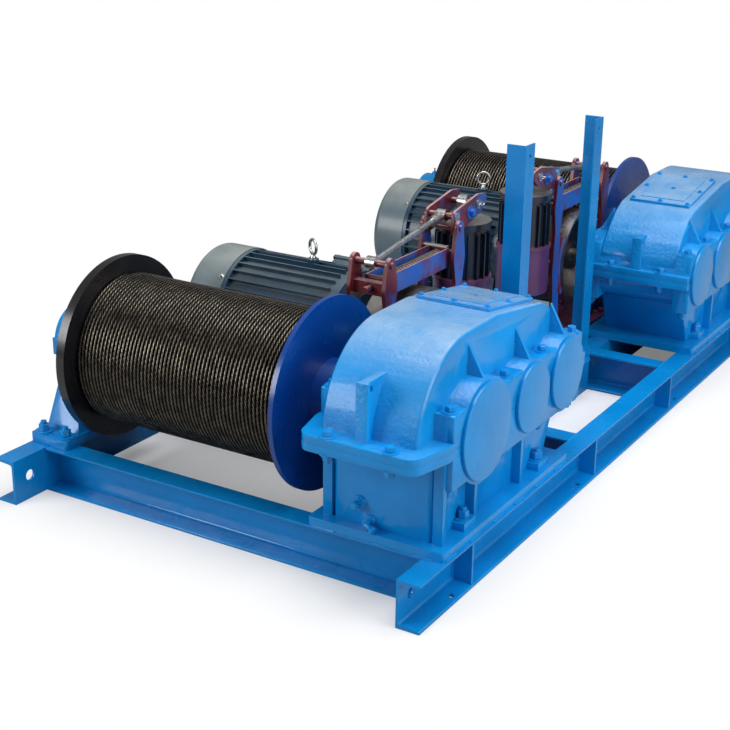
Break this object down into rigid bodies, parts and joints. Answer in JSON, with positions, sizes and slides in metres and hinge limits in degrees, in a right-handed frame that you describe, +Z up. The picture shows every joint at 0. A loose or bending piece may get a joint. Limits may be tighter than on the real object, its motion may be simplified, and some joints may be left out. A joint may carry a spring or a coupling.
{
  "type": "double-drum electric winch",
  "caption": "Double-drum electric winch on a channel frame: wire-rope drums, gearboxes, finned motors, thruster brakes and angle uprights.",
  "frame": {"origin": "on the floor under the middle of the frame", "axes": "+X along the drum axes towards the gearboxes, +Y from the front drum to the back drum, +Z up"},
  "size_m": [1.674, 3.382, 1.167],
  "materials": {
    "frame_blue": "gloss enamel",
    "casting_blue": "gloss enamel over cast iron",
    "drum_blue": "gloss enamel",
    "wire_rope": "greased steel strands",
    "motor_slate": "satin paint",
    "motor_teal": "satin paint",
    "dark_steel": "turned steel",
    "brake_red": "oxide primer with blue overspray",
    "zinc": "zinc plated",
    "thruster_navy": "satin paint"
  },
  "bodies": {
    "frame": {"bearing_covers_1": "casting_blue", "bearing_covers_2": "casting_blue", "brake_base_1": "brake_red", "brake_base_2": "brake_red", "crossbeam_front": "frame_blue", "crossbeam_middle_1": "frame_blue", "crossbeam_middle_2": "frame_blue", "crossbeam_rear": "frame_blue", "fan_cover_1": "motor_teal", "fan_cover_2": "motor_teal", "gearbox_base_1": "casting_blue", "gearbox_base_2": "casting_blue", "gearbox_bed_1": "casting_blue", "gearbox_bed_2": "casting_blue", "gearbox_cover_1": "casting_blue", "gearbox_cover_2": "casting_blue", "inner_rails": "frame_blue", "inspection_cover_1": "casting_blue", "inspection_cover_2": "casting_blue", "motor_1": "motor_slate", "motor_2": "motor_slate", "motor_bearers": "frame_blue", "motor_plinths": "frame_blue", "pedestal_1": "frame_blue", "pedestal_2": "frame_blue", "pedestal_cap_1": "frame_blue", "pedestal_cap_2": "frame_blue", "post_front": "frame_blue", "post_rear": "frame_blue", "rail_left": "frame_blue", "rail_right": "frame_blue"},
    "front_arm_1": {"brake_front_arm_1": "brake_red", "brake_tie_rod_1": "zinc"},
    "front_arm_2": {"brake_front_arm_2": "brake_red", "brake_tie_rod_2": "zinc"},
    "lever_1": {"brake_lever_1": "brake_red"},
    "lever_2": {"brake_lever_2": "brake_red"},
    "rear_arm_1": {"brake_rear_arm_1": "brake_red", "brake_spring_1": "brake_red"},
    "rear_arm_2": {"brake_rear_arm_2": "brake_red", "brake_spring_2": "brake_red"},
    "thruster_1": {"brake_thruster_1": "thruster_navy"},
    "thruster_2": {"brake_thruster_2": "thruster_navy"},
    "thruster_rod_1": {"brake_thruster_rod_1": "zinc"},
    "thruster_rod_2": {"brake_thruster_rod_2": "zinc"},
    "brake_wheel_1": {"brake_wheel_1": "dark_steel", "motor_fan_1": "motor_slate"},
    "brake_wheel_2": {"brake_wheel_2": "dark_steel", "motor_fan_2": "motor_slate"},
    "drum_1": {"drum_1": "drum_blue", "rope_1": "wire_rope"},
    "drum_2": {"drum_2": "drum_blue", "rope_2": "wire_rope"}
  },
  "joints": [
    {"name": "motor_1_shaft_spin", "type": "hinge", "parent": "frame", "child": "brake_wheel_1", "pos_m": [0.2, -0.681, 0.495], "axis": [1, 0, 0], "continuous": true},
    {"name": "drum_1_spin", "type": "hinge", "parent": "frame", "child": "drum_1", "pos_m": [0, -1.275, 0.495], "axis": [1, 0, 0], "continuous": true},
    {"name": "brake_1_front_arm_open", "type": "hinge", "parent": "frame", "child": "front_arm_1", "pos_m": [0.2, -0.896, 0.232], "axis": [1, 0, 0], "range_deg": [0, 0.5]},
    {"name": "brake_1_rear_arm_open", "type": "hinge", "parent": "frame", "child": "rear_arm_1", "pos_m": [0.2, -0.466, 0.232], "axis": [1, 0, 0], "range_deg": [-0.5, 0]},
    {"name": "brake_1_release", "type": "hinge", "parent": "rear_arm_1", "child": "lever_1", "pos_m": [0.2, -0.438, 0.862], "axis": [1, 0, 0], "range_deg": [0, 10]},
    {"name": "brake_1_thruster_tilt", "type": "hinge", "parent": "frame", "child": "thruster_1", "pos_m": [0.2, -0.269, 0.4], "axis": [1, 0, 0], "range_deg": [0, 2]},
    {"name": "brake_1_thruster_stroke", "type": "slide", "parent": "thruster_1", "child": "thruster_rod_1", "axis": [0, 0, 1], "range_m": [0, 0.05]},
    {"name": "motor_2_shaft_spin", "type": "hinge", "parent": "frame", "child": "brake_wheel_2", "pos_m": [0.2, 0.681, 0.495], "axis": [1, 0, 0], "continuous": true},
    {"name": "drum_2_spin", "type": "hinge", "parent": "frame", "child": "drum_2", "pos_m": [0, 1.275, 0.495], "axis": [1, 0, 0], "continuous": true},
    {"name": "brake_2_front_arm_open", "type": "hinge", "parent": "frame", "child": "front_arm_2", "pos_m": [0.2, 0.896, 0.232], "axis": [-1, 0, 0], "range_deg": [0, 0.5]},
    {"name": "brake_2_rear_arm_open", "type": "hinge", "parent": "frame", "child": "rear_arm_2", "pos_m": [0.2, 0.466, 0.232], "axis": [-1, 0, 0], "range_deg": [-0.5, 0]},
    {"name": "brake_2_release", "type": "hinge", "parent": "rear_arm_2", "child": "lever_2", "pos_m": [0.2, 0.438, 0.862], "axis": [-1, 0, 0], "range_deg": [0, 10]},
    {"name": "brake_2_thruster_tilt", "type": "hinge", "parent": "frame", "child": "thruster_2", "pos_m": [0.2, 0.269, 0.4], "axis": [-1, 0, 0], "range_deg": [0, 2]},
    {"name": "brake_2_thruster_stroke", "type": "slide", "parent": "thruster_2", "child": "thruster_rod_2", "axis": [0, 0, 1], "range_m": [0, 0.05]}
  ],
  "couplings": [
    {"joint": "drum_1_spin", "follows": "motor_1_shaft_spin", "ratio": 0.031746},
    {"joint": "brake_1_front_arm_open", "follows": "brake_1_release", "ratio": 0.030159},
    {"joint": "brake_1_rear_arm_open", "follows": "brake_1_release", "ratio": -0.030159},
    {"joint": "brake_1_thruster_tilt", "follows": "brake_1_release", "ratio": 0.090958},
    {"joint": "brake_1_thruster_stroke", "follows": "brake_1_release", "m_per_rad": 0.15759},
    {"joint": "drum_2_spin", "follows": "motor_2_shaft_spin", "ratio": 0.031746},
    {"joint": "brake_2_front_arm_open", "follows": "brake_2_release", "ratio": 0.030159},
    {"joint": "brake_2_rear_arm_open", "follows": "brake_2_release", "ratio": -0.030159},
    {"joint": "brake_2_thruster_tilt", "follows": "brake_2_release", "ratio": 0.090958},
    {"joint": "brake_2_thruster_stroke", "follows": "brake_2_release", "m_per_rad": 0.15759}
  ]
}
